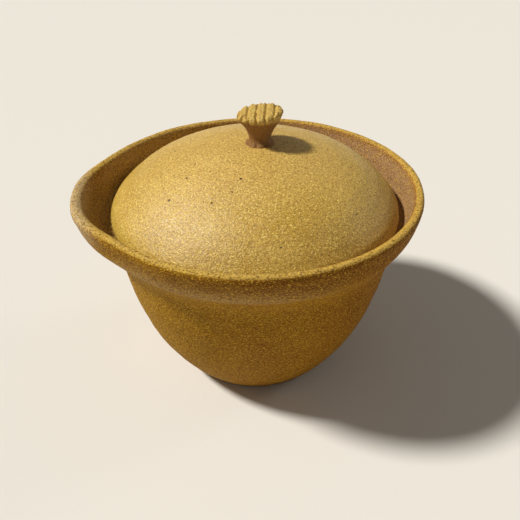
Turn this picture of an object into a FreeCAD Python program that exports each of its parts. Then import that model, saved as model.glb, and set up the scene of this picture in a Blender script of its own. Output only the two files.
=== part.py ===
import FreeCAD, Part
import math
import os
import Sketcher

# Small stoneware teapot without a handle: a thrown bowl whose collar is drawn out into a
# pouring lip, and a domed lid that sits down inside the collar on a ledge and is lifted by
# a petalled knob. The origin is on the bowl's axis at the surface it stands on, +Z is up
# and the pouring lip points to -X. All lengths are millimetres.

document = FreeCAD.newDocument("teapot")

# Driving dimensions
sizes = {
    # foot and belly of the bowl
    "recess_radius": 21.0,
    "recess_depth": 1.8,
    "foot_inner_radius": 21.8,
    "foot_radius": 26.6,
    "foot_bevel_radius": 27.7,
    "foot_bevel_top": 1.5,
    "belly_turn_radius": 39.92,
    "belly_turn_height": 21.82,
    "neck_radius": 46.4,
    "neck_height": 47.5,
    # collar, level by level from the neck up to the lip
    "collar_low_radius": 47.5,
    "collar_low_height": 53.5,
    "collar_mid_radius": 49.4,
    "collar_mid_height": 57.0,
    "collar_full_radius": 51.8,
    "collar_full_height": 60.5,
    "collar_high_radius": 53.3,
    "collar_high_height": 63.5,
    "lip_radius": 54.2,
    "lip_height": 68.6,
    "lip_turn_radius": 53.8,
    "lip_turn_height": 69.4,
    "lip_top_radius": 53.1,
    "lip_top": 69.8,
    # how far the collar is drawn out towards the pour at each of those heights
    "flank_turn": 37.0,
    "pull_low": 2.2,
    "pull_mid": 3.6,
    "pull_full": 4.1,
    "pull_high": 4.3,
    "pull_lip": 4.5,
    # inside of the bowl
    "floor_height": 6.2,
    "floor_radius": 20.5,
    "inner_turn_radius": 33.6,
    "inner_turn_height": 14.4,
    "inner_wall_radius": 38.95,
    "inner_wall_height": 31.8,
    "throat_radius": 42.6,
    "throat_height": 50.0,
    "ledge_height": 59.5,
    "ledge_radius": 49.0,
    "ledge_pull": 4.2,
    "inner_mid_radius": 50.0,
    "inner_mid_height": 64.0,
    "inner_mid_pull": 4.4,
    "mouth_radius": 50.8,
    "mouth_pull": 4.5,
    "mouth_height": 68.6,
    "mouth_turn_radius": 51.2,
    "mouth_turn_height": 69.4,
    "mouth_top_radius": 52.6,
    "mouth_top": 70.2,
    # comb-cut drain grooves in the ledge, under the pour
    "drain_inner": 42.0,
    "drain_outer": 49.4,
    "drain_top": 59.8,
    "drain_root": 58.0,
    "drain_width": 2.0,
    "drain_end_root": 59.4,
    "drain_end_width": 0.5,
    "drain_step": 4.0,
    # lid
    "seat_height": 59.65,
    "seat_inner_radius": 44.0,
    "seat_radius": 46.5,
    "lid_radius": 47.4,
    "lid_edge_height": 61.0,
    "lid_shoulder_end": 46.6,
    "lid_shoulder_low": 63.48,
    "lid_shoulder_curve": 24.0,
    "lid_shoulder_reach": 38.5,
    "lid_shoulder_top": 71.79,
    "lid_pad_radius": 6.4,
    "lid_pad_height": 82.45,
    "lid_hollow_flat": 10.0,
    "lid_inner_top": 77.5,
    "lid_hollow_reach": 27.5,
    "lid_hollow_turn": 73.2,
    "lid_hollow_side_radius": 38.2,
    "lid_hollow_side_height": 67.2,
    # knob
    "knob_shift_x": 1.5,
    "knob_shift_y": -0.4,
    "knob_base": 82.45,
    "knob_base_radius": 4.4,
    "knob_neck_radius": 3.5,
    "knob_neck_height": 83.9,
    "knob_flare_radius": 3.7,
    "knob_flare_height": 83.0,
    "knob_throat_radius": 5.6,
    "knob_throat_height": 89.3,
    "knob_stem_radius": 4.1,
    "knob_stem_height": 87.0,
    "cap_low_radius": 6.7,
    "cap_low_height": 90.1,
    "cap_edge_radius": 6.6,
    "cap_edge_height": 92.6,
    "cap_side_radius": 7.1,
    "cap_side_height": 91.5,
    "cap_top": 93.4,
    "cap_flat_radius": 1.5,
    # petals: each notch scores the top of the cap lightly and its side deeply
    "petal_top": 94.2,
    "petal_inner": 1.9,
    "petal_inner_root": 93.2,
    "petal_inner_width": 0.8,
    "petal_shoulder": 6.0,
    "petal_shoulder_root": 92.3,
    "petal_shoulder_width": 1.6,
    "petal_outer": 8.0,
    "petal_outer_root": 88.6,
    "petal_outer_width": 2.6,
}
petal_count = 16
drain_half_count = 5
nose_share = 0.6
full_turn = 360.0

sheet = document.addObject("Spreadsheet::Sheet", "dimensions")
for row, (alias, value) in enumerate(sizes.items(), start=1):
    sheet.set(f"A{row}", alias)
    sheet.set(f"B{row}", str(value))
    sheet.setAlias(f"B{row}", alias)
document.recompute()


# Bodies, origin planes and sketches
def new_body(name):
    body = document.addObject("PartDesign::Body", name)
    body.Label = name
    return body


def new_sketch(body, name, role, offset=None):
    sketch = body.newObject("Sketcher::SketchObject", name)
    support = next(item for item in body.Origin.OriginFeatures if item.Role == role)
    sketch.AttachmentSupport = [(support, "")]
    sketch.MapMode = "FlatFace"
    if offset:
        sketch.setExpression("AttachmentOffset.Base.z", offset)
    document.recompute()
    return sketch


def axis_of(body, role):
    return (next(item for item in body.Origin.OriginFeatures if item.Role == role), [""])


def bind(sketch, kind, ends, value, formula):
    index = sketch.addConstraint(Sketcher.Constraint(kind, *ends, value))
    sketch.setExpression(f"Constraints[{index}]", formula)


def length(alias):
    return sizes[alias] if alias else 0.0


# A corner is held by two aliases, its distance from the axis and its height. None is zero.
def pin(sketch, geometry, end, corner):
    for kind, alias, datum in (("DistanceX", corner[0], -2), ("DistanceY", corner[1], -1)):
        if alias:
            bind(sketch, kind, (-1, 1, geometry, end), length(alias), f"dimensions.{alias}")
        else:
            sketch.addConstraint(Sketcher.Constraint("PointOnObject", geometry, end, datum))


# An arc between two points, bulging to the right of the way from one to the other for a
# positive radius and to the left for a negative one. It always runs anticlockwise.
def arc_between(start, finish, radius):
    chord = finish - start
    across = FreeCAD.Vector(-chord.y, chord.x, 0).normalize()
    depth = math.sqrt(radius ** 2 - (chord.Length / 2) ** 2)
    side = 1 if radius > 0 else -1
    centre = (start + finish) * 0.5 + across * (side * depth)
    crest = centre - across * (side * abs(radius))
    first, last = (start, finish) if radius > 0 else (finish, start)
    return Part.Arc(first, crest, last)


# The radius of the ball, centred on the axis, whose surface holds both points
def ball_radius(start, finish):
    rise = finish.y - start.y
    centre = FreeCAD.Vector(0, (finish.Length ** 2 - start.Length ** 2) / (2 * rise), 0)
    return (start - centre).Length


# A closed outline in the plane of the axis. Each corner is followed by what leads to the
# next one: "line", "ball" for an arc centred on the axis, or the alias of an arc's radius
# with + or - for the side it bulges to.
def outline(sketch, corners):
    points = [FreeCAD.Vector(length(x), length(z), 0) for x, z, _ in corners]
    ends = []
    for number, (_, _, edge) in enumerate(corners):
        start = points[number]
        finish = points[(number + 1) % len(points)]
        if edge == "line":
            ends.append((sketch.addGeometry(Part.LineSegment(start, finish), False), 1, 2))
            continue
        if edge == "ball":
            radius = ball_radius(start, finish)
        else:
            radius = sizes[edge[1:]] * (1 if edge[0] == "+" else -1)
        index = sketch.addGeometry(arc_between(start, finish, radius), False)
        ends.append((index, 1, 2) if radius > 0 else (index, 2, 1))
    for number, (index, _, last) in enumerate(ends):
        after, first, _ = ends[(number + 1) % len(ends)]
        sketch.addConstraint(Sketcher.Constraint("Coincident", index, last, after, first))
    for number, (x, z, edge) in enumerate(corners):
        index, first, _ = ends[number]
        pin(sketch, index, first, (x, z))
        if edge == "ball":
            sketch.addConstraint(Sketcher.Constraint("PointOnObject", index, 3, -2))
        elif edge != "line":
            bind(sketch, "Radius", (index,), sizes[edge[1:]], f"dimensions.{edge[1:]}")
    document.recompute()


def revolve(body, kind, name, corners):
    sketch = new_sketch(body, name + "_profile", "XZ_Plane")
    outline(sketch, corners)
    feature = body.newObject(kind, name)
    feature.Profile = sketch
    feature.ReferenceAxis = (sketch, ["V_Axis"])
    feature.Angle = full_turn
    document.recompute()
    return feature


# One level of the collar seen from above: a round back, two straight flanks and a rounder
# nose towards -X, all tangent. A level with no pull is the same four stretches of a circle.
def collar_level(body, name, height, radius, pull=None):
    sketch = new_sketch(body, name, "XY_Plane", f"dimensions.{height}")
    around = sizes[radius]
    turn = math.radians(sizes["flank_turn"])
    left, right = math.pi - turn, math.pi + turn
    up = FreeCAD.Vector(0, 0, 1)
    back = Part.ArcOfCircle(Part.Circle(FreeCAD.Vector(), up, around), right - 2 * math.pi, left)
    if pull:
        shift = sizes[pull] / (1 - math.cos(turn))
        nose = around - shift * math.cos(turn)
        circle = Part.Circle(FreeCAD.Vector(-shift, 0, 0), up, nose)
        front = Part.ArcOfCircle(circle, left, right)
        flanks = [
            Part.LineSegment(back.EndPoint, front.StartPoint),
            Part.LineSegment(front.EndPoint, back.StartPoint),
        ]
    else:
        shift, nose = 0, around
        half = turn * nose_share
        circle = Part.Circle(FreeCAD.Vector(), up, around)
        front = Part.ArcOfCircle(circle, math.pi - half, math.pi + half)
        flanks = [
            Part.ArcOfCircle(circle, left, math.pi - half),
            Part.ArcOfCircle(circle, math.pi + half, right),
        ]
    stretches = (back, flanks[0], front, flanks[1])
    main, flank, tip, other_flank = (sketch.addGeometry(item, False) for item in stretches)
    joint = "Tangent" if pull else "Coincident"
    for here, after in ((main, flank), (flank, tip), (tip, other_flank), (other_flank, main)):
        sketch.addConstraint(Sketcher.Constraint(joint, here, 2, after, 1))
    sketch.addConstraint(Sketcher.Constraint("Coincident", main, 3, -1, 1))
    bind(sketch, "Radius", (main,), around, f"dimensions.{radius}")
    if pull:
        offset = f"dimensions.{pull} / (1 - cos(dimensions.flank_turn * 1deg))"
        reach = f"dimensions.{radius} - ({offset}) * cos(dimensions.flank_turn * 1deg)"
        sketch.addConstraint(Sketcher.Constraint("PointOnObject", tip, 3, -1))
        bind(sketch, "DistanceX", (tip, 3, -1, 1), shift, offset)
        bind(sketch, "Radius", (tip,), nose, reach)
        document.recompute()
        return sketch
    sketch.addConstraint(Sketcher.Constraint("Coincident", tip, 3, -1, 1))
    for index in (flank, tip, other_flank):
        bind(sketch, "Radius", (index,), around, f"dimensions.{radius}")
    for ends, share in (
        ((-1, 1, main, 2), 1),
        ((main, 1, -1, 1), 1),
        ((-1, 1, tip, 1), nose_share),
        ((tip, 2, -1, 1), nose_share),
    ):
        rise = f"dimensions.{radius} * sin(dimensions.flank_turn * 1deg * {share})"
        bind(sketch, "DistanceY", ends, around * math.sin(turn * share), rise)
    document.recompute()
    return sketch


# Levels joined by straight rulings
def loft(body, kind, name, sections):
    feature = body.newObject(kind, name)
    feature.Profile = sections[0]
    feature.Sections = sections[1:]
    feature.Ruled = True
    document.recompute()
    return feature


# A three-cornered section, its base held level and its point below the base
def wedge(body, name, role, side, place, base, root, width):
    sketch = new_sketch(body, name, role, f"dimensions.{place} * {side}")
    half = sizes[width] / 2
    corners = ((-half, sizes[base]), (half, sizes[base]), (0.0, sizes[root]))
    points = [FreeCAD.Vector(across, up, 0) for across, up in corners]
    for number in range(3):
        edge = Part.LineSegment(points[number], points[(number + 1) % 3])
        sketch.addGeometry(edge, False)
    for number in range(3):
        after = (number + 1) % 3
        sketch.addConstraint(Sketcher.Constraint("Coincident", number, 2, after, 1))
    sketch.addConstraint(Sketcher.Constraint("Symmetric", 0, 1, 0, 2, -2))
    sketch.addConstraint(Sketcher.Constraint("PointOnObject", 2, 1, -2))
    bind(sketch, "DistanceX", (0, 1, 0, 2), sizes[width], f"dimensions.{width}")
    bind(sketch, "DistanceY", (-1, 1, 0, 1), sizes[base], f"dimensions.{base}")
    bind(sketch, "DistanceY", (-1, 1, 2, 1), sizes[root], f"dimensions.{root}")
    document.recompute()
    return sketch


# A groove whose depth changes along its length, lofted straight from wedge to wedge
def tapered_cut(body, name, side, ends):
    sections = [
        wedge(body, f"{name}_section_{number}", "YZ_Plane", side, *end)
        for number, end in enumerate(ends, start=1)
    ]
    return loft(body, "PartDesign::SubtractiveLoft", name, sections)


def pattern(body, name, original, count, angle, backwards=False):
    feature = body.newObject("PartDesign::PolarPattern", name)
    feature.Originals = original
    feature.Axis = axis_of(body, "Z_Axis")
    if isinstance(angle, str):
        feature.setExpression("Angle", angle)
    else:
        feature.Angle = angle
    feature.Occurrences = count
    feature.Reversed = backwards
    body.Tip = feature
    document.recompute()
    return feature


# Thrown bowl
bowl = new_body("bowl_body")
revolve(bowl, "PartDesign::Revolution", "turned_belly", [
    (None, "recess_depth", "line"),
    ("recess_radius", "recess_depth", "line"),
    ("foot_inner_radius", None, "line"),
    ("foot_radius", None, "line"),
    ("foot_bevel_radius", "foot_bevel_top", "ball"),
    ("belly_turn_radius", "belly_turn_height", "line"),
    ("neck_radius", "neck_height", "line"),
    (None, "neck_height", "line"),
])
loft(bowl, "PartDesign::AdditiveLoft", "collar", [
    collar_level(bowl, "collar_neck", "neck_height", "neck_radius"),
    collar_level(bowl, "collar_low", "collar_low_height", "collar_low_radius", "pull_low"),
    collar_level(bowl, "collar_mid", "collar_mid_height", "collar_mid_radius", "pull_mid"),
    collar_level(bowl, "collar_full", "collar_full_height", "collar_full_radius", "pull_full"),
    collar_level(bowl, "collar_high", "collar_high_height", "collar_high_radius", "pull_high"),
    collar_level(bowl, "collar_lip", "lip_height", "lip_radius", "pull_lip"),
    collar_level(bowl, "lip_turn", "lip_turn_height", "lip_turn_radius", "pull_lip"),
    collar_level(bowl, "lip_crest", "lip_top", "lip_top_radius", "pull_lip"),
])
revolve(bowl, "PartDesign::Groove", "hollow", [
    (None, "floor_height", "line"),
    ("floor_radius", "floor_height", "line"),
    ("inner_turn_radius", "inner_turn_height", "line"),
    ("inner_wall_radius", "inner_wall_height", "line"),
    ("throat_radius", "throat_height", "line"),
    ("throat_radius", "ledge_height", "line"),
    (None, "ledge_height", "line"),
])
loft(bowl, "PartDesign::SubtractiveLoft", "gallery", [
    collar_level(bowl, "gallery_ledge", "ledge_height", "ledge_radius", "ledge_pull"),
    collar_level(bowl, "gallery_mid", "inner_mid_height", "inner_mid_radius", "inner_mid_pull"),
    collar_level(bowl, "gallery_mouth", "mouth_height", "mouth_radius", "mouth_pull"),
    collar_level(bowl, "mouth_turn", "mouth_turn_height", "mouth_turn_radius", "mouth_pull"),
    collar_level(bowl, "mouth_crest", "mouth_top", "mouth_top_radius", "mouth_pull"),
])
drain = tapered_cut(bowl, "drain", -1, (
    ("drain_inner", "drain_top", "drain_root", "drain_width"),
    ("drain_outer", "drain_top", "drain_end_root", "drain_end_width"),
))
sweep = f"dimensions.drain_step * {drain_half_count - 1}"
pattern(bowl, "drains_left", [drain], drain_half_count, sweep)
pattern(bowl, "drains_right", [drain], drain_half_count, sweep, True)

# Lid
lid = new_body("lid_dome")
revolve(lid, "PartDesign::Revolution", "domed_top", [
    (None, "seat_height", "line"),
    ("seat_radius", "seat_height", "line"),
    ("lid_radius", "lid_edge_height", "line"),
    ("lid_shoulder_end", "lid_shoulder_low", "+lid_shoulder_curve"),
    ("lid_shoulder_reach", "lid_shoulder_top", "ball"),
    ("lid_pad_radius", "lid_pad_height", "line"),
    (None, "lid_pad_height", "line"),
])
revolve(lid, "PartDesign::Groove", "hollow_under", [
    (None, "seat_height", "line"),
    ("seat_inner_radius", "seat_height", "line"),
    ("lid_hollow_side_radius", "lid_hollow_side_height", "line"),
    ("lid_hollow_reach", "lid_hollow_turn", "line"),
    ("lid_hollow_flat", "lid_inner_top", "line"),
    (None, "lid_inner_top", "line"),
])

# Knob
knob = new_body("lid_knob")
revolve(knob, "PartDesign::Revolution", "turned_knob", [
    (None, "knob_base", "line"),
    ("knob_base_radius", "knob_base", "line"),
    ("knob_flare_radius", "knob_flare_height", "line"),
    ("knob_neck_radius", "knob_neck_height", "line"),
    ("knob_stem_radius", "knob_stem_height", "line"),
    ("knob_throat_radius", "knob_throat_height", "line"),
    ("cap_low_radius", "cap_low_height", "line"),
    ("cap_side_radius", "cap_side_height", "line"),
    ("cap_edge_radius", "cap_edge_height", "line"),
    ("cap_flat_radius", "cap_top", "line"),
    (None, "cap_top", "line"),
])
notch = tapered_cut(knob, "petal_notch", 1, (
    ("petal_inner", "petal_top", "petal_inner_root", "petal_inner_width"),
    ("petal_shoulder", "petal_top", "petal_shoulder_root", "petal_shoulder_width"),
    ("petal_outer", "petal_top", "petal_outer_root", "petal_outer_width"),
))
pattern(knob, "petals", [notch], petal_count, full_turn)
knob.setExpression("Placement.Base.x", "dimensions.knob_shift_x")
knob.setExpression("Placement.Base.y", "dimensions.knob_shift_y")
document.recompute()

# Every object has to be sound before anything is written
for item in document.Objects:
    if "Invalid" in item.State or "Error" in item.State:
        raise RuntimeError(f"{item.Name} failed: {item.State}")
os.makedirs("parts", exist_ok=True)
for body in (bowl, lid, knob):
    if body.Shape.isNull() or not body.Shape.isValid():
        raise RuntimeError(f"{body.Label} has no sound shape")
    body.Shape.exportStep(f"parts/{body.Label}.step")
    box = body.Shape.BoundBox
    print(body.Label, len(body.Shape.Solids), "solid", round(body.Shape.Volume), "mm3,", box)
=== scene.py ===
import bpy
import math
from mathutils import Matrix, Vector


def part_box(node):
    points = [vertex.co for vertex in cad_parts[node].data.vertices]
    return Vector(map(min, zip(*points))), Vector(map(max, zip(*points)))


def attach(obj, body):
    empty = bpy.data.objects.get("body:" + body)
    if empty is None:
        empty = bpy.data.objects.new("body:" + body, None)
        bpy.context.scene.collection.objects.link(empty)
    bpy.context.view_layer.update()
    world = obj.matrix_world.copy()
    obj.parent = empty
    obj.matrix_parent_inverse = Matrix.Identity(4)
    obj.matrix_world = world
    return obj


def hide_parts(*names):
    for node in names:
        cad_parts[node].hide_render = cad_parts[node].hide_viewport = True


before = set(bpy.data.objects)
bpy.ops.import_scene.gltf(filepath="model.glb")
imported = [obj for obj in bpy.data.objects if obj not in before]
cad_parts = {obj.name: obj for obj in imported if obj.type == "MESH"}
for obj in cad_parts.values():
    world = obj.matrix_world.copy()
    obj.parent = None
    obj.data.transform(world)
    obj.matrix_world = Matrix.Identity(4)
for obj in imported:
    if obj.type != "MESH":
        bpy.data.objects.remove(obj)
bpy.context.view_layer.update()        # the imported meshes, flattened in place and named by their nodes
print("frame loaded:", sorted(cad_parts))

mm = 0.001
closed = 0.02 * mm       # a wall line this near the axis is on it
seam = 0.001 * mm        # points this near each other are one
bowlLow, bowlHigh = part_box("bowl_body")
lidLow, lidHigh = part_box("lid_dome")
knobLow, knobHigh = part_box("lid_knob")


# A socket in a node tree. Arithmetic on it adds the Math nodes that do the sum.
class Link:
    def __init__(self, graph, socket):
        self.graph = graph
        self.socket = socket

    def sum(self, operation, *others):
        return self.graph.add("ShaderNodeMath", {"operation": operation}, dict(enumerate(others)))

    def __add__(self, other):
        return self.sum("ADD", self, other)

    def __radd__(self, other):
        return self.sum("ADD", other, self)

    def __sub__(self, other):
        return self.sum("SUBTRACT", self, other)

    def __rsub__(self, other):
        return self.sum("SUBTRACT", other, self)

    def __mul__(self, other):
        return self.sum("MULTIPLY", self, other)

    def __rmul__(self, other):
        return self.sum("MULTIPLY", other, self)

    def __truediv__(self, other):
        return self.sum("DIVIDE", self, other)

    def __rtruediv__(self, other):
        return self.sum("DIVIDE", other, self)

    def __pow__(self, other):
        return self.sum("POWER", self, other)

    def __gt__(self, other):
        return self.sum("GREATER_THAN", self, other)

    def __lt__(self, other):
        return self.sum("LESS_THAN", self, other)

    def above(self, other):
        return self.sum("MAXIMUM", self, other)

    def below(self, other):
        return self.sum("MINIMUM", self, other)

    def size(self):
        return self.sum("ABSOLUTE", self)

    def sine(self):
        return self.sum("SINE", self)

    def cosine(self):
        return self.sum("COSINE", self)

    def exponent(self):
        return self.sum("EXPONENT", self)

    def fold(self):
        return self.sum("FRACT", self)

    # 0 at one end of a span and 1 at the other, eased at both
    def ramp(self, low, high):
        settings = {"interpolation_type": "SMOOTHSTEP"}
        sockets = {"Value": self, "From Min": low, "From Max": high}
        return self.graph.add("ShaderNodeMapRange", settings, sockets)


# A shader or geometry tree. add() makes any node: its type, its settings, its sockets.
class Graph:
    def __init__(self, tree):
        self.tree = tree

    def add(self, kind, settings=None, sockets=None, out=0):
        node = self.tree.nodes.new(kind)
        for name, value in (settings or {}).items():
            setattr(node, name, value)
        for name, value in (sockets or {}).items():
            if isinstance(value, Link):
                self.tree.links.new(value.socket, node.inputs[name])
            else:
                node.inputs[name].default_value = value
        return Link(self, node.outputs[out]) if len(node.outputs) else node

    def other(self, link, out):
        return Link(self, link.socket.node.outputs[out])

    def split(self, vector):
        parts = self.add("ShaderNodeSeparateXYZ", {}, {0: vector})
        return parts, self.other(parts, 1), self.other(parts, 2)

    def join(self, x, y, z):
        return self.add("ShaderNodeCombineXYZ", {}, {0: x, 1: y, 2: z})

    def noise(self, vector, scale, detail=2.0, rough=0.5):
        sockets = {"Vector": vector, "Scale": scale, "Detail": detail, "Roughness": rough}
        return self.add("ShaderNodeTexNoise", {}, sockets)

    def mix(self, share, first, second):
        return self.add("ShaderNodeMix", {"data_type": "RGBA"}, {0: share, 6: first, 7: second}, 2)


# A colour picked as it looks on a screen, in 0 to 255, as the linear one that nodes take
def shade(red, green, blue):
    parts = [value / 255 for value in (red, green, blue)]
    linear = [c / 12.92 if c <= 0.04045 else ((c + 0.055) / 1.055) ** 2.4 for c in parts]
    return (*linear, 1.0)


# Every thrown piece is one closed wall: a wall line from the axis below to the axis above.
# Each knot has its radius and height in millimetres, whether it is a corner, how much of the
# pour's reach it is drawn out by, and how deep it is cut, in millimetres.
def wallLine(name, knots, wide, tall):
    curve = bpy.data.curves.new(name, "CURVE")
    curve.dimensions = "3D"
    curve.resolution_u = 24
    spline = curve.splines.new("BEZIER")
    spline.bezier_points.add(len(knots) - 1)
    for point, (radius, height, corner, pull, cut) in zip(spline.bezier_points, knots):
        point.co = (radius * wide, 0, height * tall)
        point.handle_left_type = point.handle_right_type = "VECTOR" if corner else "AUTO"
        point.radius = pull
        point.tilt = cut
    made = bpy.data.objects.new(name, curve)
    bpy.context.scene.collection.objects.link(made)
    return made


def wheelTree():
    tree = bpy.data.node_groups.new("thrownOnTheWheel", "GeometryNodeTree")
    inputs = (
        ("Wall line", "NodeSocketObject"),
        ("Columns", "NodeSocketInt"),
        ("Rows", "NodeSocketInt"),
        ("Crowding", "NodeSocketFloat"),      # 1 spaces columns evenly, less crowds the pour
        ("Row crowding", "NodeSocketFloat"),  # 1 spaces rows evenly, less crowds mid-line
        ("Pour reach", "NodeSocketFloat"),    # what a piece doesn't give stays 0
        ("Pour near", "NodeSocketFloat"),     # half-widths of the drawn lip, in radians
        ("Pour far", "NodeSocketFloat"),
        ("Pour bluntness", "NodeSocketFloat"),
        ("Cut step", "NodeSocketFloat"),      # angle from one cut to the next
        ("Cut spread", "NodeSocketFloat"),    # no cuts past this angle from the pour
        ("Cut width", "NodeSocketFloat"),     # share of a step that a cut takes
        ("Cut edge", "NodeSocketFloat"),      # 1 for a straight V, more for rounded ribs
        ("Comb depth", "NodeSocketFloat"),    # side-by-side scores on what faces up
        ("Comb pitch", "NodeSocketFloat"),
        ("Comb turn", "NodeSocketFloat"),
        ("Comb shift", "NodeSocketFloat"),
        ("Lean", "NodeSocketFloat"),          # how much the top slopes down to one side
        ("Lean turn", "NodeSocketFloat"),
        ("Lean from", "NodeSocketFloat"),
        ("Ring depth", "NodeSocketFloat"),
        ("Ring pitch", "NodeSocketFloat"),
        ("Lump depth", "NodeSocketFloat"),
        ("Lump size", "NodeSocketFloat"),
        ("Sand depth", "NodeSocketFloat"),
        ("Sand size", "NodeSocketFloat"),
        ("Oval", "NodeSocketFloat"),
        ("Oval turn", "NodeSocketFloat"),
        ("Seed", "NodeSocketFloat"),
        ("Centre", "NodeSocketVector"),
        ("Clay", "NodeSocketMaterial"),
    )
    for name, kind in inputs:
        tree.interface.new_socket(name, in_out="INPUT", socket_type=kind)
    tree.interface.new_socket("Geometry", in_out="OUTPUT", socket_type="NodeSocketGeometry")
    graph = Graph(tree)
    given = graph.add("NodeGroupInput")
    want = {name: graph.other(given, name) for name, _ in inputs}

    line = graph.add("GeometryNodeObjectInfo", {}, {"Object": want["Wall line"]})
    line = graph.other(line, "Geometry")
    grid = graph.add(
        "GeometryNodeMeshGrid",
        {},
        {"Size X": 1.0, "Size Y": 1.0, "Vertices X": want["Columns"], "Vertices Y": want["Rows"]},
    )
    across, along, _ = graph.split(graph.add("GeometryNodeInputPosition"))
    turn = across * 2
    climb = along * 2
    climb = want["Row crowding"] * climb + (1 - want["Row crowding"]) * climb * climb * climb
    place = (0.5 + 0.5 * climb).above(0.0).below(1.0)
    angle = math.pi * (want["Crowding"] * turn + (1 - want["Crowding"]) * turn * turn * turn)

    def follow(field):
        settings = {"mode": "FACTOR", "data_type": "FLOAT"}
        sockets = {"Curves": line, "Value": field, "Factor": place}
        return graph.add("GeometryNodeSampleCurve", settings, sockets)

    pull = follow(graph.add("GeometryNodeInputRadius"))
    cut = follow(graph.add("GeometryNodeInputCurveTilt"))
    radius, _, height = graph.split(graph.other(pull, "Position"))
    wayOut, _, wayUp = graph.split(graph.other(pull, "Tangent"))
    length = graph.add("GeometryNodeCurveLength", {}, {"Curve": line})

    # the drawn lip: blunt, and a little wider on its far side
    side = angle > 0.0
    width = want["Pour far"] + (want["Pour near"] - want["Pour far"]) * side
    drawn = (0.0 - (angle.size() / width) ** want["Pour bluntness"]).exponent()
    outward = pull * want["Pour reach"] * drawn
    oval = 1 + want["Oval"] * ((angle - want["Oval turn"]) * 2).cosine()

    # grooves at every whole number of a field, 1 at their roots and 0 on the ribs between
    def groove(field):
        step = (field.fold() - 0.5).size() * 2
        return ((step - 1) / want["Cut width"] + 1).above(0.0) ** want["Cut edge"]

    # cuts repeated round the axis, then scores side by side on what faces up
    spread = angle.size() < want["Cut spread"]
    depth = cut * mm * groove(angle / want["Cut step"]) * spread
    crossing = radius * (angle - want["Comb turn"]).sine()
    facingUp = (0.0 - wayOut).above(0.0)
    combed = groove((crossing + want["Comb shift"]) / want["Comb pitch"])

    # rings left by fingers, slow lumps and the sandy skin
    roundX, roundY = angle.cosine(), angle.sine()
    ringPlace = place * length / want["Ring pitch"] + want["Seed"]
    ringNoise = graph.noise(graph.join(roundX * 0.6, roundY * 0.6, ringPlace), 1.0, 2.0)
    flat = graph.join(roundX * radius, roundY * radius, height + want["Seed"])
    lumpNoise = graph.noise(flat, 1 / want["Lump size"], 1.0)
    sandNoise = graph.noise(flat, 1 / want["Sand size"], 2.0)
    rough = (
        (ringNoise - 0.5) * 2 * want["Ring depth"]
        + (lumpNoise - 0.5) * 2 * want["Lump depth"]
        + (sandNoise - 0.5) * 2 * want["Sand depth"]
    )
    depth = depth + want["Comb depth"] * combed * facingUp * facingUp * (lumpNoise + 0.5)
    relief = (rough - depth) * radius.ramp(0.0, 2 * mm)      # calm on the axis, so it closes
    finalRadius = ((radius + wayUp * relief) * oval + outward).above(0.0)
    finalRadius = finalRadius * (radius > closed)
    fall = want["Lean"] * radius * (angle - want["Lean turn"]).cosine()
    fall = fall * (height - want["Lean from"]).ramp(0.0, 5 * mm)
    finalHeight = (height - wayOut * relief - fall).above(0.0)
    spot = graph.join(-1 * roundX * finalRadius, -1 * roundY * finalRadius, finalHeight)
    spot = graph.add("ShaderNodeVectorMath", {"operation": "ADD"}, {0: spot, 1: want["Centre"]})
    made = graph.add("GeometryNodeSetPosition", {}, {"Geometry": grid, "Position": spot})
    made = graph.add("GeometryNodeMergeByDistance", {}, {"Geometry": made, "Distance": seam})
    made = graph.add("GeometryNodeSetShadeSmooth", {}, {"Geometry": made})
    made = graph.add("GeometryNodeRealizeInstances", {}, {"Geometry": made})
    made = graph.add("GeometryNodeSetMaterial", {}, {"Geometry": made, "Material": want["Clay"]})
    graph.add("NodeGroupOutput", {}, {"Geometry": made})
    return tree


# A node tree's result as a plain mesh on an object at the origin
def finished(name, tree, values):
    holder = bpy.data.objects.new(name + "Holder", bpy.data.meshes.new(name + "Holder"))
    bpy.context.scene.collection.objects.link(holder)
    modifier = holder.modifiers.new("shape", "NODES")
    modifier.node_group = tree
    for item in tree.interface.items_tree:
        if item.in_out == "INPUT" and item.name in values:
            modifier[item.identifier] = values[item.name]
    depsgraph = bpy.context.evaluated_depsgraph_get()
    mesh = bpy.data.meshes.new_from_object(holder.evaluated_get(depsgraph), depsgraph=depsgraph)
    holder.modifiers.remove(modifier)
    bpy.data.objects.remove(holder)
    mesh.name = name
    piece = bpy.data.objects.new(name, mesh)
    bpy.context.scene.collection.objects.link(piece)
    return piece


# What all the clays here share: how fine each pattern is, per millimetre, and the relief
sandyClay = {
    "driftScale": 0.035,
    "patchScale": 0.16,
    "crazeScale": 0.6,
    "speckScale": 0.36,
    "fleckFiner": 1.3,
    "reliefHeight": 0.3 * mm,
    "pitDepth": 3,
    "glassiness": 1.5,
}


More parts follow.
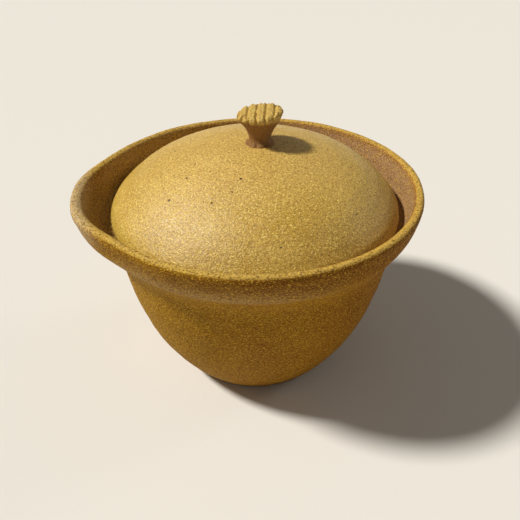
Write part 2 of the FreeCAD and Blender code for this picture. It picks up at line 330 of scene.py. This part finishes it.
# Sandy clay: each finish below is one dictionary of what is its own
def clay(name, look):
    material = bpy.data.materials.new(name)
    material.use_nodes = True
    material.node_tree.nodes.clear()
    graph = Graph(material.node_tree)
    place = graph.add("ShaderNodeTexCoord", {}, {}, "Object")
    spot = graph.add("ShaderNodeVectorMath", {"operation": "SCALE"}, {0: place, "Scale": 1 / mm})
    x, y, z = graph.split(spot)
    reach = (x * x + y * y) ** 0.5
    drawn = graph.join(x, y, z * look["stretch"])     # grains lie flat along the wall

    # slow drifts of colour left by the fire, then tints below the sand, and veils over it
    broad = graph.noise(spot, sandyClay["driftScale"], 2.0, 0.55)
    middle = graph.noise(spot, sandyClay["patchScale"], 4.0, 0.6)
    body = graph.mix(broad.ramp(0.34, 0.66), shade(*look["dark"]), shade(*look["light"]))
    body = graph.mix(middle.ramp(0.4, 0.7) * 0.5, body, shade(*look["warm"]))

    def tinted(colour, tints):
        for tint in tints:
            share = tint["where"](x, z, reach) * tint["share"]
            colour = graph.mix(share, colour, shade(*tint["colour"]))
        return colour

    body = tinted(body, look["tints"])

    # sand: a brown and pale grain all over, yellow flecks, a few black iron specks
    grain = graph.noise(drawn, look["grainScale"], 5.0, 0.7)
    fleck = graph.noise(drawn, look["grainScale"] * sandyClay["fleckFiner"]).ramp(0.55, 0.64)
    crack = graph.noise(drawn, sandyClay["crazeScale"], 3.0, 0.6) - 0.5
    crazed = 1 - (crack.size() * 14).below(1.0)
    sockets = {"Vector": drawn, "Scale": sandyClay["speckScale"]}
    cell = graph.add("ShaderNodeTexVoronoi", {}, sockets, "Distance")
    chance, _, _ = graph.split(graph.other(cell, "Color"))
    speck = (1 - cell.ramp(0.04, 0.15)) * (chance < look["speckShare"])
    body = graph.mix((1 - grain.ramp(0.36, 0.56)) * look["brownShare"], body, shade(*look["brown"]))
    body = graph.mix(fleck * look["yellowShare"], body, shade(*look["yellow"]))
    body = graph.mix(speck * 0.8, body, shade(*look["speck"]))
    body = tinted(body, look["veils"])

    relief = grain * 0.8 + fleck * 0.25 - crazed * look["crazing"] - speck * 1.2 + middle
    for *middleOfPit, size in look["pits"]:
        settings = {"operation": "DISTANCE"}
        far = graph.add("ShaderNodeVectorMath", settings, {0: spot, 1: middleOfPit}, "Value")
        hole = 1 - far.ramp(size * 0.5, size)
        body = graph.mix(hole * 0.9, body, shade(*look["speck"]))
        relief = relief - hole * sandyClay["pitDepth"]
    sockets = {"Strength": look["bump"], "Distance": sandyClay["reliefHeight"], "Height": relief}
    bump = graph.add("ShaderNodeBump", {}, sockets)
    rough = look["rough"] + 0.15 * (middle - 0.5) + 0.2 * (0.5 - grain)
    skin = graph.add(
        "ShaderNodeBsdfPrincipled",
        {},
        {
            "Base Color": body,
            "Roughness": rough,
            "Normal": bump,
            "IOR": sandyClay["glassiness"],
            "Specular IOR Level": look["shine"],
        },
    )
    graph.add("ShaderNodeOutputMaterial", {}, {"Surface": skin})
    material.diffuse_color = shade(*look["light"])
    return material


# Where a tint lies, from 0 to 1, by a point's place in millimetres and reach from the axis
def insideCollar(x, z, reach):
    return (1 - reach.ramp(50.6, 51.8)) * z.ramp(58.0, 60.0) * x.ramp(-20.0, 20.0)


def insidePour(x, z, reach):
    return (1 - reach.ramp(52.0, 54.0)) * z.ramp(58.0, 60.0) * (1 - x.ramp(-20.0, 20.0))


def hollow(x, z, reach):
    middleOfWall = (31.7 + 0.256 * z).below(17 + 1.3 * z)
    return (1 - (reach - middleOfWall).ramp(-0.6, 0.6)) * z.ramp(4.0, 5.5)


def lipCrest(x, z, reach):
    return z.ramp(69.0, 69.7)


# painted shade: the near-upright outer collar under the lip darkened, where little light falls
def underLipPaintedShade(x, z, reach):
    return reach.ramp(51.5, 52.5) * z.ramp(60.0, 65.0) * (1 - z.ramp(68.8, 69.4))


# painted bounce light: the down-facing flare under the collar made lighter and yellower, as if lit
# from the floor below
def shoulderPaintedBounce(x, z, reach):
    return z.ramp(50.0, 54.0) * (1 - z.ramp(56.0, 64.0)) * reach.ramp(45.0, 46.0)


def pourTip(x, z, reach):
    return (1 - x.ramp(-57.0, -49.0)) * z.ramp(60.0, 66.0)


# lighter and yellower towards the pour, the lamp's side: partly the clay's own tone, partly painted
# light
def towardsPourToneAndPaintedLight(x, z, reach):
    return 1 - x.ramp(-40.0, 0.0)


# darker and redder away from the pour, the side away from the lamp: partly the clay's own tone,
# partly painted shade
def awayFromPourToneAndPaintedShade(x, z, reach):
    return x.ramp(-5.0, 35.0)


def crown(x, z, reach):
    return z.ramp(74.0, 81.0)


def skirt(x, z, reach):
    return 1 - z.ramp(61.0, 69.0)


# painted shade: the knob below its cap darkened, standing in for the cap's shade over the stem
def stemPaintedShade(x, z, reach):
    return 1 - z.ramp(89.8, 91.2)


# the bowl's base colours are darker and redder than the lid's: partly the clay's own tone, partly
# painted shade and warm bounce light
bowlLook = {
    "dark": (140, 92, 8),
    "light": (160, 112, 14),
    "warm": (150, 92, 12),
    "yellow": (244, 194, 66),
    "brown": (84, 48, 4),
    "speck": (40, 22, 4),
    "grainScale": 1.5,
    "stretch": 1.8,
    "yellowShare": 0.6,
    "brownShare": 0.8,
    "speckShare": 0.06,
    "crazing": 0.15,
    "bump": 0.7,
    "rough": 0.72,
    "shine": 0.1,
    "pits": [],
    "tints": [
        # partly the clay's own tone, partly painted light on the lamp's side
        {"where": towardsPourToneAndPaintedLight, "share": 0.5, "colour": (166, 126, 22)},
        # partly the clay's own tone, partly painted shade on the side away from the lamp
        {"where": awayFromPourToneAndPaintedShade, "share": 0.5, "colour": (146, 84, 10)},
        # painted bounce light on the flare under the collar
        {"where": shoulderPaintedBounce, "share": 0.4, "colour": (172, 124, 16)},
        # painted shade under the lip
        {"where": underLipPaintedShade, "share": 0.55, "colour": (118, 68, 10)},
        {"where": insideCollar, "share": 0.9, "colour": (168, 132, 96)},
        {"where": insidePour, "share": 0.8, "colour": (178, 142, 88)},
        {"where": hollow, "share": 0.6, "colour": (160, 112, 70)},
        {"where": lipCrest, "share": 0.8, "colour": (210, 172, 84)},
        {"where": pourTip, "share": 0.85, "colour": (196, 170, 128)},
    ],
    "veils": [],
}

lidLook = {
    "dark": (198, 156, 62),
    "light": (214, 174, 80),
    "warm": (208, 164, 76),
    "yellow": (255, 224, 116),
    "brown": (116, 82, 24),
    "speck": (50, 32, 12),
    "grainScale": 1.6,
    "stretch": 1.3,
    "yellowShare": 0.7,
    "brownShare": 0.6,
    "speckShare": 0.08,
    "crazing": 0.3,
    "bump": 0.5,
    "rough": 0.38,
    "shine": 0.5,
    "pits": [
        (-29.4, -16.7, 74.7, 0.5),
        (-23.3, -11.1, 78.2, 0.45),
        (-19.9, -5.5, 79.8, 0.3),
        (-8.6, -18.5, 79.9, 0.55),
        (-24.4, 8.6, 78.2, 0.35),
        (-9.4, 4.2, 81.9, 0.35),
        (-18.3, -24.2, 76.5, 0.4),
        (-12.1, -22.7, 78.3, 0.35),
        (10.1, -1.4, 81.9, 0.4),
    ],
    "tints": [
        {"where": crown, "share": 0.6, "colour": (216, 174, 94)},
        {"where": skirt, "share": 0.6, "colour": (190, 156, 50)},
    ],
    "veils": [],
}

knobLook = dict(
    lidLook,
    dark=(196, 156, 64),
    light=(218, 180, 88),
    warm=(204, 160, 72),
    bump=1.0,
    rough=0.7,
    speckShare=0.0,
    pits=[],
    tints=[],
    # the veil is painted shade over the stem, laid over the sand
    veils=[{"where": stemPaintedShade, "share": 0.8, "colour": (124, 72, 24)}],
)

thrown = wheelTree()
print("clay finishes and the wheel ready")

# The bowl: foot, belly, collar, lip, inner ledge and hollow, in the clay's own order
bowlLine = [
    (0, 1.8, True, 0, 0),
    (20.4, 1.8, False, 0, 0),
    (21.7, 1.0, False, 0, 0),
    (22.4, 0.0, True, 0, 0),
    (26.2, 0.0, True, 0, 0),
    (27.5, 0.5, False, 0, 0),
    (28.4, 1.7, False, 0, 0),
    (31.7, 6.0, False, 0, 0),
    (35.4, 12.0, False, 0, 0),
    (39.3, 20.0, False, 0, 0),
    (42.3, 29.0, False, 0, 0),
    (44.5, 38.0, False, 0, 0),
    (45.8, 46.0, False, 0, 0),
    (46.5, 50.5, False, 0.16, 0),
    (47.5, 53.5, False, 0.49, 0),
    (49.8, 57.5, False, 0.84, 0),
    (51.7, 60.0, False, 0.90, 0),
    (52.9, 63.0, False, 0.94, 0),
    (53.6, 66.0, False, 0.97, 0),
    (54.0, 68.5, False, 1, 0),
    (53.5, 69.6, False, 1, 0),
    (52.5, 69.8, False, 1, 0),
    (51.4, 69.3, False, 0.86, 0),
    (50.9, 68.0, False, 0.8, 0),
    (50.1, 64.5, False, 0.76, 0),
    (49.3, 60.6, False, 0.4, 0),
    (48.7, 59.7, False, 0.25, 0.1),
    (47.8, 59.5, False, 0.15, 0.3),
    (43.3, 59.4, False, 0.1, 1.4),
    (42.6, 58.6, False, 0, 1.0),
    (42.6, 51.0, False, 0, 0),
    (41.1, 42.0, False, 0, 0),
    (39.0, 32.0, False, 0, 0),
    (36.4, 22.5, False, 0, 0),
    (33.2, 14.9, False, 0, 0),
    (28.0, 9.4, False, 0, 0),
    (19.5, 6.4, False, 0, 0),
    (0, 6.2, True, 0, 0),
]
drawnLip = 54.2
drawnHeight = 69.8
bowlShape = {
    "Wall line": wallLine("bowlLine", bowlLine, bowlHigh.x / drawnLip, bowlHigh.z / drawnHeight),
    "Columns": 360,
    "Rows": 276,
    "Crowding": 0.5,
    "Row crowding": 0.75,
    "Pour reach": -bowlLow.x - bowlHigh.x,
    "Pour near": math.radians(22.5),
    "Pour far": math.radians(26.0),
    "Pour bluntness": 2.8,
    "Cut step": math.radians(4),
    "Cut spread": math.radians(18),
    "Cut width": 0.7,
    "Cut edge": 1.0,
    "Ring depth": 0.10 * mm,
    "Ring pitch": 3.2 * mm,
    "Lump depth": 0.22 * mm,
    "Lump size": 14 * mm,
    "Sand depth": 0.10 * mm,
    "Sand size": 1.6 * mm,
    "Oval": -0.002,
    "Oval turn": math.radians(90),
    "Seed": 3.7,
    "Centre": (0, 0, 0),
    "Clay": clay("bowlClay", bowlLook),
}
bowlShell = finished("bowlShell", thrown, bowlShape)
print("bowl thrown:", len(bowlShell.data.polygons), "faces")

lidLine = [
    (0, 77.7, True, 0, 0),
    (4.0, 77.6, False, 0, 0),
    (16.0, 76.0, False, 0, 0),
    (27.5, 73.0, False, 0, 0),
    (38.2, 67.0, False, 0, 0),
    (42.6, 61.6, False, 0, 0),
    (43.8, 59.9, False, 0, 0),
    (44.5, 59.65, False, 0, 0),
    (46.3, 59.65, False, 0, 0),
    (47.1, 60.0, False, 0, 0),
    (47.4, 60.9, False, 0, 0),
    (47.2, 62.1, False, 0, 0),
    (46.5, 63.8, False, 0, 0),
    (44.5, 66.3, False, 0, 0),
    (41.0, 69.7, False, 0, 0),
    (36.0, 73.5, False, 0, 0),
    (30.0, 76.6, False, 0, 0),
    (20.0, 80.0, False, 0, 0),
    (10.0, 81.96, False, 0, 0),
    (0, 82.3, False, 0, 0),
]
drawnLid = 47.4
lidShape = {
    "Wall line": wallLine("lidLine", lidLine, (lidHigh.x - lidLow.x) / 2 / drawnLid, mm),
    "Columns": 380,
    "Rows": 260,
    "Crowding": 1.0,
    "Row crowding": 1.0,
    "Ring depth": 0.16 * mm,
    "Ring pitch": 4.4 * mm,
    "Lump depth": 0.2 * mm,
    "Lump size": 15 * mm,
    "Sand depth": 0.09 * mm,
    "Sand size": 1.3 * mm,
    "Seed": 11.3,
    "Centre": ((lidLow.x + lidHigh.x) / 2, (lidLow.y + lidHigh.y) / 2, 0),
    "Clay": clay("lidClay", lidLook),
}
lidShell = finished("lidShell", thrown, lidShape)
print("lid thrown:", len(lidShell.data.polygons), "faces")

knobLine = [
    (0, 81.9, True, 0, 0),
    (4.7, 81.9, False, 0, 0),
    (4.5, 82.5, False, 0, 0),
    (3.9, 83.1, False, 0, 0),
    (3.5, 84.0, False, 0, 0),
    (3.7, 85.4, False, 0, 0),
    (4.4, 87.1, False, 0, 0),
    (5.5, 88.8, False, 0, 0),
    (6.4, 90.1, False, 0, 0.1),
    (6.8, 90.8, False, 0, 0.6),
    (7.1, 91.4, False, 0, 1.2),
    (7.0, 92.1, False, 0, 1.1),
    (6.4, 92.65, False, 0, 0.6),
    (5.2, 92.8, False, 0, 0.1),
    (0, 92.8, True, 0, 0),
]
drawnKnob = 7.1
petals = 16
knobShape = {
    "Wall line": wallLine("knobLine", knobLine, (knobHigh.x - knobLow.x) / 2 / drawnKnob, mm),
    "Columns": petals * 24 + 1,
    "Rows": 180,
    "Crowding": 1.0,
    "Row crowding": 1.0,
    "Cut step": 2 * math.pi / petals,
    "Cut spread": 2 * math.pi,
    "Cut width": 0.5,
    "Cut edge": 1.1,
    "Comb depth": 0.7 * mm,
    "Comb pitch": 2.75 * mm,
    "Comb turn": math.radians(73),
    "Comb shift": 0.87 * mm,
    "Lean": 0.09,
    "Lean turn": math.radians(-14),
    "Lean from": 86 * mm,
    "Ring depth": 0.05 * mm,
    "Ring pitch": 1.5 * mm,
    "Lump depth": 0.22 * mm,
    "Lump size": 3 * mm,
    "Sand depth": 0.12 * mm,
    "Sand size": 0.8 * mm,
    "Seed": 5.1,
    "Centre": ((knobLow.x + knobHigh.x) / 2, (knobLow.y + knobHigh.y) / 2, 0),
    "Clay": clay("knobClay", knobLook),
}
knob = finished("knob", thrown, knobShape)
print("knob shaped:", len(knob.data.polygons), "faces")

for line in [made for made in bpy.data.objects if made.type == "CURVE"]:
    bpy.data.objects.remove(line)

for piece, node, body, slot in (
    (bowlShell, "bowl_body", "bowl", "bowl_stoneware"),
    (lidShell, "lid_dome", "lid", "lid_stoneware"),
    (knob, "lid_knob", "lid", "knob_stoneware"),
):
    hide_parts(node)
    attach(piece, body)

# Studio: a pale floor that runs far back, a strong lamp, a weak one and an even sky
studio = {
    "floor": (226, 220, 208),
    "floorHalf": 6.0,              # metres
    "backdrop": (238, 234, 226),   # what the camera sees behind the floor
    "sky": (250, 248, 244),
    "skyLevel": 0.17,
}
lamps = {
    # degrees: where it stands about +Z from +X, how high, how wide it looks; then strength
    "softLamp": {"turn": 165.6, "rise": 50.0, "width": 7.6, "strength": 3.8},
    "sideLamp": {"turn": 8.0, "rise": 23.0, "width": 16.0, "strength": 0.27},
}
half = studio["floorHalf"]
corners = [(-half, -half, 0), (half, -half, 0), (half, half, 0), (-half, half, 0)]
floorMesh = bpy.data.meshes.new("floor")
floorMesh.from_pydata(corners, [], [(0, 1, 2, 3)])
floor = bpy.data.objects.new("floor", floorMesh)
bpy.context.scene.collection.objects.link(floor)
paper = bpy.data.materials.new("floorPaper")
paper.use_nodes = True
paper.node_tree.nodes.clear()
paperGraph = Graph(paper.node_tree)
sockets = {"Base Color": shade(*studio["floor"]), "Roughness": 0.9, "Specular IOR Level": 0.2}
matt = paperGraph.add("ShaderNodeBsdfPrincipled", {}, sockets)
paperGraph.add("ShaderNodeOutputMaterial", {}, {"Surface": matt})
floorMesh.materials.append(paper)

world = bpy.data.worlds.new("studio")
world.use_nodes = True
world.node_tree.nodes.clear()
sky = Graph(world.node_tree)
seen = sky.add("ShaderNodeLightPath", {}, {}, "Is Camera Ray")
backdrop = sky.add("ShaderNodeBackground", {}, {"Color": shade(*studio["backdrop"])})
sockets = {"Color": shade(*studio["sky"]), "Strength": studio["skyLevel"]}
daylight = sky.add("ShaderNodeBackground", {}, sockets)
shown = sky.add("ShaderNodeMixShader", {}, {0: seen, 1: daylight, 2: backdrop})
sky.add("ShaderNodeOutputWorld", {}, {"Surface": shown})
bpy.context.scene.world = world

for name, made in lamps.items():
    turn, rise = math.radians(made["turn"]), math.radians(made["rise"])
    flat = math.cos(rise)
    toLamp = Vector((math.cos(turn) * flat, math.sin(turn) * flat, math.sin(rise)))
    lampData = bpy.data.lights.new(name, "SUN")
    lampData.angle = math.radians(made["width"])
    lampData.energy = made["strength"]
    lamp = bpy.data.objects.new(name, lampData)
    lamp.rotation_euler = toLamp.to_track_quat("Z", "Y").to_euler()
    bpy.context.scene.collection.objects.link(lamp)

# Camera: where the photograph was taken from
view = {
    "place": (-37.19, -155.60, 152.19),     # millimetres
    "tip": 54.19,                           # degrees up from straight down
    "turn": -14.0,
    "lens": 37.65,
}
cameraData = bpy.data.cameras.new("camera")
cameraData.sensor_width = 36
cameraData.lens = view["lens"]
cameraData.clip_start = 10 * mm
camera = bpy.data.objects.new("camera", cameraData)
camera.location = Vector(view["place"]) * mm
camera.rotation_euler = (math.radians(view["tip"]), 0, math.radians(view["turn"]))
bpy.context.scene.collection.objects.link(camera)
bpy.context.scene.camera = camera
bpy.context.scene.view_settings.view_transform = "Standard"
print("studio set")
